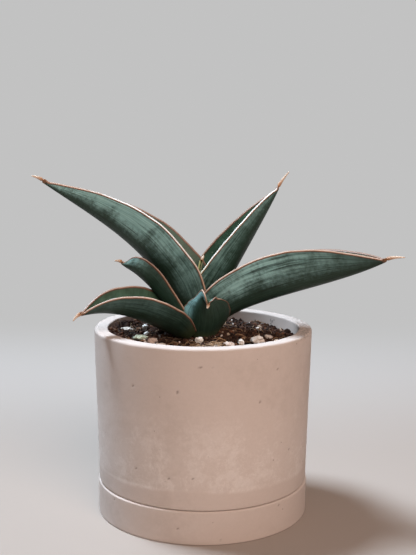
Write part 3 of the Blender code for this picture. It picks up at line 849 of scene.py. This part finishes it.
    # small pale scars
    scar = pores(tree, coord, 230.0, 0.13, 0.035)
    colour = mixColour(tree, multiply(tree, scar, 0.45), colour, (0.30, 0.29, 0.22))
    dull = add(tree, multiply(tree, bloomAndLightMask, 0.5), multiply(tree, streaks, 0.5))
    finishSurface(tree, shader, colour, mapRange(tree, dull, 0.1, 0.8, 0.40, 0.58, False), 0.28)
    fineLines = noiseValue(tree, leafVector(9.0, 80.0, seed * 0.7), 1.0, 3.0, 0.6)
    height = add(tree, multiply(tree, fineLines, 0.6), multiply(tree, bands, 0.8))
    bump(tree, shader, height, 0.22, 0.0006)
    return material


def makeLeaves():
    for seed, (name, leaf) in enumerate(leaves.items()):
        words = name.split("_")
        pieceName = words[0] + "".join(w.capitalize() for w in words[1:])
        material = makeLeafMaterial(pieceName + "Skin", leaf, seed)
        piece = makeLeafMesh(pieceName, leaf, leafLook, seed, material)
        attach(piece, "root")
        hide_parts(name)


makeLeaves()
print("leaves made")


# ---- soil

soilLook = {
    "drop": 0.006, "mound": 0.0034, "spread": 0.024, "rings": 150, "turns": 420,
    "grains": 130, "grainSize": (0.0003, 0.0012), "grainTint": (1.15, 1.1, 1.08),
    "clusters": [(0.0245, -0.029), (0.0335, -0.024), (0.0125, -0.024), (-0.025, -0.020), (-0.031, -0.010)],
    "crumbs": 4200, "crumbSize": (0.00025, 0.0013), "fibres": 620,
    "crumbReach": 0.0445, "grainReach": 0.042, "fibreReach": 0.043, "fibreLimit": 0.0448,
    "fibrePatch": (0.002, -0.028), "fibrePatchSpread": (0.0066, 0.004),
}


def soilHeight(x, y):
    # level at the wall, mounded to the plant, with lumps at three sizes
    r = np.hypot(x, y)
    p = np.stack([x, y, 0 * x], -1)
    lumps = 0.0011 * hashNoise(p, 0.0075, 71) + 0.0007 * hashNoise(p, 0.0032, 72)
    lumps += 0.00045 * hashNoise(p, 0.0013, 73)
    # the mix is banked up against the wall on the left and at the back left
    outward = np.clip((r - 0.0345) / 0.0095, 0, 1)
    facing = np.clip(((-0.87 * x + 0.5 * y) / np.maximum(r, 0.001) - 0.15) / 0.5, 0, 1)
    bank = 0.0041 * outward**2 * (3 - 2 * outward) * facing**2 * (3 - 2 * facing)
    mound = soilLook["mound"] * np.exp(-((r / soilLook["spread"]) ** 2))
    return potLook["height"] - soilLook["drop"] + mound + bank + lumps


def makeSoilMaterial(name, tintName=None):
    material, tree, shader = newMaterial(name)
    coord = addNode(tree, "ShaderNodeTexCoord").outputs["Object"]
    patch = mottle(tree, coord, 160.0, 1400.0, 0.9)
    damp, dry = (0.013, 0.0066, 0.0050), (0.072, 0.036, 0.025)
    colour = mixColour(tree, mapRange(tree, patch, 0.3, 0.75), damp, dry)
    grit = pores(tree, coord, 900.0, 0.30, 0.10)
    colour = mixColour(tree, multiply(tree, grit, 0.5), colour, (0.22, 0.16, 0.12))
    if tintName:
        tone = attributeValue(tree, tintName)
        colour = mixColour(tree, mapRange(tree, tone, 0.55, 1.0, 0.0, 0.9), colour, (0.135, 0.062, 0.036))
        colour = mixColour(tree, mapRange(tree, tone, 0.965, 0.98), colour, (0.36, 0.27, 0.20))
    finishSurface(tree, shader, colour, 0.88, 0.10)
    bump(tree, shader, noiseValue(tree, coord, 1600.0, 5.0, 0.7), 0.5, 0.0005)
    return material


def makeSoil(look):
    inner = potLook["rimRadius"] - potLook["wall"] - fitGap
    lowRadius = potLook["footRadius"] - 0.0023
    insideZ = saucerLook["floor"] + fitGap + potLook["floorThick"] + fitGap
    slope = (inner - lowRadius) / (potLook["height"] - insideZ)
    wall = lowRadius + slope * (potLook["height"] - look["drop"] - insideZ) - 0.0002
    radius = np.linspace(0.0004, wall, look["rings"])[:, None]
    turn = np.linspace(0, 2 * np.pi, look["turns"], endpoint=False)[None, :]
    x, y = radius * np.cos(turn), radius * np.sin(turn)
    top = np.stack([x, y, soilHeight(x, y)], -1)
    low = np.stack([lowRadius * np.cos(turn), lowRadius * np.sin(turn), insideZ + 0 * turn], -1)
    points = np.concatenate([top, low])
    rows, cols = points.shape[:2]
    flat = points.reshape(-1, 3)
    flat = np.vstack([flat, [[0, 0, float(top[0, :, 2].mean())], [0, 0, insideZ]]])
    ring = np.arange(cols)
    faceSets = [gridFaces(rows, cols)[:, ::-1], fanFaces(ring, rows * cols),
                fanFaces((rows - 1) * cols + ring[::-1], rows * cols + 1)]
    soil = meshPiece("pottingMix", flat, faceSets, makeSoilMaterial("pottingMixDark"))
    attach(soil, "root")
    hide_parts("potting_soil")


def icoBall(level):
    work = bmesh.new()
    bmesh.ops.create_icosphere(work, subdivisions=level, radius=1)
    verts = np.array([v.co[:] for v in work.verts])
    faces = np.array([[v.index for v in f.verts] for f in work.faces])
    work.free()
    return verts, faces


def scatter(rng, count, reach):
    # random places spread evenly over a disc about the pot's axis
    r = reach * np.sqrt(rng.random(count))
    a = rng.uniform(0, 2 * np.pi, count)
    return r * np.cos(a), r * np.sin(a)


def mostlySmall(rng, count, sizes, power):
    # random sizes between these two, crowded toward the smaller one
    return sizes[0] + (sizes[1] - sizes[0]) * rng.random(count) ** power


def makeCrumbs(look):
    # many small angular lumps, each a coarse ball pulled about by seeded numbers, lying on the soil
    rng = np.random.default_rng(17)
    verts, tris = icoBall(1)
    count = look["crumbs"]
    x, y = scatter(rng, count, look["crumbReach"])
    size = mostlySmall(rng, count, look["crumbSize"], 2.2)
    stretch = rng.uniform(0.6, 1.35, (count, 1, 3))
    jitter = 1 + 0.35 * rng.uniform(-1, 1, (count, len(verts), 1))
    shape = verts[None] * jitter * stretch * size[:, None, None]
    spin = rng.uniform(0, 2 * np.pi, count)
    c, s = np.cos(spin)[:, None], np.sin(spin)[:, None]
    sx, sy, sz = np.moveaxis(shape, -1, 0)
    shape = np.stack([sx * c - sy * s, sx * s + sy * c, sz], -1)
    centre = np.stack([x, y, soilHeight(x, y) + 0.35 * size], -1)
    points = shape + centre[:, None]
    faces = repeatFaces(tris, count, len(verts))
    tone = np.repeat(rng.random(count), len(verts))
    material = makeSoilMaterial("mixCrumbTones", "crumbTone")
    crumbs = meshPiece("mixCrumbs", points, [faces], material, smooth=False, attributes={"crumbTone": tone})
    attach(crumbs, "root")


stoneLook = {
    "pumice": dict(colours=((0.44, 0.38, 0.34), (0.66, 0.60, 0.55)), hole=0.26, keep=0.5, rough=0.16),
    "perlite": dict(colours=((0.70, 0.64, 0.58), (0.86, 0.80, 0.74)), hole=0.24, keep=0.4, rough=0.2),
}
stoneTints = {
    "pumice_1": (1.12, 1.06, 1.0), "pumice_2": (0.82, 1.0, 0.84), "pumice_3": (1.0, 0.86, 0.80),
    "pumice_4": (1.14, 1.10, 1.06), "pumice_5": (1.14, 1.10, 1.06), "pumice_6": (1.12, 1.04, 1.02),
    "pumice_7": (0.9, 0.84, 0.8),
}


def makeStoneMaterial(name, kind, tint):
    look = stoneLook[kind]
    material, tree, shader = newMaterial(name)
    coord = addNode(tree, "ShaderNodeTexCoord").outputs["Object"]
    mask = mottle(tree, coord, 420.0, 2600.0, 0.6)
    low, high = (tuple(min(0.9, c * t) for c, t in zip(part, tint)) for part in look["colours"])
    colour = mixColour(tree, mapRange(tree, mask, 0.3, 0.7), low, high)
    # pores: bump and painted shade in the holes
    holes = pores(tree, coord, 1300.0, look["hole"], look["keep"])
    colour = mixColour(tree, multiply(tree, holes, 0.6), colour, (0.10, 0.075, 0.06))
    finishSurface(tree, shader, colour, 0.9, 0.25)
    bump(tree, shader, subtract(tree, mask, holes), 0.5, 0.0003)
    return material


def makeGrains(look):
    # small broken bits of pumice, some gathered in clusters, each a ball pulled about by seeded numbers
    rng = np.random.default_rng(37)
    verts, tris = icoBall(2)
    count = look["grains"]
    x, y = scatter(rng, count, look["grainReach"])
    clusters = np.array(look["clusters"])
    chosen = rng.integers(0, len(clusters), count)
    gathered = rng.random(count) < 0.55
    x = np.where(gathered, clusters[chosen, 0] + 0.0022 * rng.standard_normal(count), x)
    y = np.where(gathered, clusters[chosen, 1] + 0.0016 * rng.standard_normal(count), y)
    size = mostlySmall(rng, count, look["grainSize"], 1.7)
    jitter = 1 + 0.30 * rng.uniform(-1, 1, (count, len(verts), 1))
    shape = verts[None] * jitter * rng.uniform(0.65, 1.25, (count, 1, 3))
    centre = np.stack([x, y, soilHeight(x, y) + 0.3 * size], -1)
    points = shape * size[:, None, None] + centre[:, None]
    faces = repeatFaces(tris, count, len(verts))
    material = makeStoneMaterial("pumiceGrainTones", "pumice", look["grainTint"])
    grains = meshPiece("pumiceGrains", points, [faces], material)
    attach(grains, "root")


def makeFibres(look):
    # short bent strands of bark and coir: a five-sided tube along a bowed line, closed at both ends
    rng = np.random.default_rng(23)
    count, steps, sides = look["fibres"], 9, 5
    patch = rng.random(count) < 0.4
    x, y = scatter(rng, count, look["fibreReach"])
    (patchX, patchY), (spreadX, spreadY) = look["fibrePatch"], look["fibrePatchSpread"]
    x = np.where(patch, patchX + spreadX * rng.standard_normal(count), x)
    y = np.where(patch, patchY + spreadY * rng.standard_normal(count), y)
    length = rng.uniform(0.003, 0.010, count)
    heading = rng.uniform(0, 2 * np.pi, count)
    bow = rng.uniform(-0.5, 0.5, count)
    u = np.linspace(-0.5, 0.5, steps)
    dirX, dirY = np.cos(heading), np.sin(heading)
    off = (0.25 - u**2)[None] * (bow * length)[:, None]
    px = x[:, None] + dirX[:, None] * length[:, None] * u - dirY[:, None] * off
    py = y[:, None] + dirY[:, None] * length[:, None] * u + dirX[:, None] * off
    limit = np.maximum(np.hypot(px, py) / look["fibreLimit"], 1)
    px, py = px / limit, py / limit
    lift = rng.uniform(0.0001, 0.0009, count)[:, None] * (1 + np.sin(np.pi * (u + 0.5)))[None]
    pz = soilHeight(px, py) + lift
    path = np.stack([px, py, pz], -1)
    ahead = np.gradient(path, axis=1)
    ahead /= np.linalg.norm(ahead, axis=2)[..., None]
    sideways = np.cross(ahead, [0, 0, 1.0])
    sideways /= np.linalg.norm(sideways, axis=2)[..., None]
    above = np.cross(sideways, ahead)
    thick = rng.uniform(0.00009, 0.00030, count)[:, None] * (1.15 - np.abs(u) * 1.6)[None]
    turn = np.linspace(0, 2 * np.pi, sides, endpoint=False)[None, None, :, None]
    ring = np.cos(turn) * sideways[:, :, None] + np.sin(turn) * above[:, :, None]
    points = path[:, :, None] + ring * thick[:, :, None, None]
    first = np.arange(sides)
    ends = np.stack([first[::-1], (steps - 1) * sides + first])
    faceSets = [repeatFaces(part, count, steps * sides) for part in (gridFaces(steps, sides), ends)]
    tone = np.repeat(np.where(patch, rng.uniform(0.6, 1, count), rng.random(count)), steps * sides)
    material, tree, shader = newMaterial("coirFibre")
    value = attributeValue(tree, "fibreTone")
    colour = mixColour(tree, mapRange(tree, value, 0.2, 1.0), (0.022, 0.012, 0.008), (0.30, 0.175, 0.09))
    finishSurface(tree, shader, colour, 0.8)
    fibres = meshPiece("mixFibres", points, faceSets, material, attributes={"fibreTone": tone})
    fixOutward(fibres)
    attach(fibres, "root")


makeSoil(soilLook)
makeCrumbs(soilLook)
makeGrains(soilLook)
makeFibres(soilLook)
print("soil made")


# ---- stones on the soil

stoneSwell = 1.08       # the lumpy stones fill their solids' boxes at this scale
stoneSink = 0.0004


def makeStones():
    verts, tris = icoBall(5)
    names = sorted(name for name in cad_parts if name.startswith(("pumice", "perlite")))
    for index, name in enumerate(names):
        kind = name.split("_")[0]
        low, high = (np.array(c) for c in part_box(name))
        centre, half = (low + high) / 2, (high - low) / 2 * stoneSwell
        centre[2] -= stoneSink
        look = stoneLook[kind]
        p = verts + index * 3.1
        wave = 0.26 * fractalNoise(p, 1.1, 90 + index, 3) + 0.17 * fractalNoise(p, 0.42, 150 + index, 2)
        pits = np.clip(hashNoise(verts + index, 0.34, 120 + index) - 0.35, 0, 1) * look["rough"] * 1.6
        shape = verts * (0.92 + wave - pits)[:, None]
        points = centre + shape * half
        tint = stoneTints.get(name, (1, 1, 1))
        material = makeStoneMaterial(name + "Skin", kind, tint)
        stone = meshPiece(name + "_stone", points, [tris], material)
        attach(stone, "root")
        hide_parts(name)


makeStones()
print("stones made")


# ---- crown stem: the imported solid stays, with its own finish

def finishCrown():
    material, tree, shader = newMaterial("crownSkin")
    coord = addNode(tree, "ShaderNodeTexCoord").outputs["Object"]
    mask = mottle(tree, coord, 220.0, 1500.0, 0.6)
    finishSurface(tree, shader, mixColour(tree, mask, (0.20, 0.15, 0.08), (0.42, 0.34, 0.2)), 0.7)
    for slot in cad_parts["crown_stem"].material_slots:
        slot.material = material


finishCrown()

scene = bpy.context.scene
scene.view_settings.view_transform = "Standard"

print("looks finished")
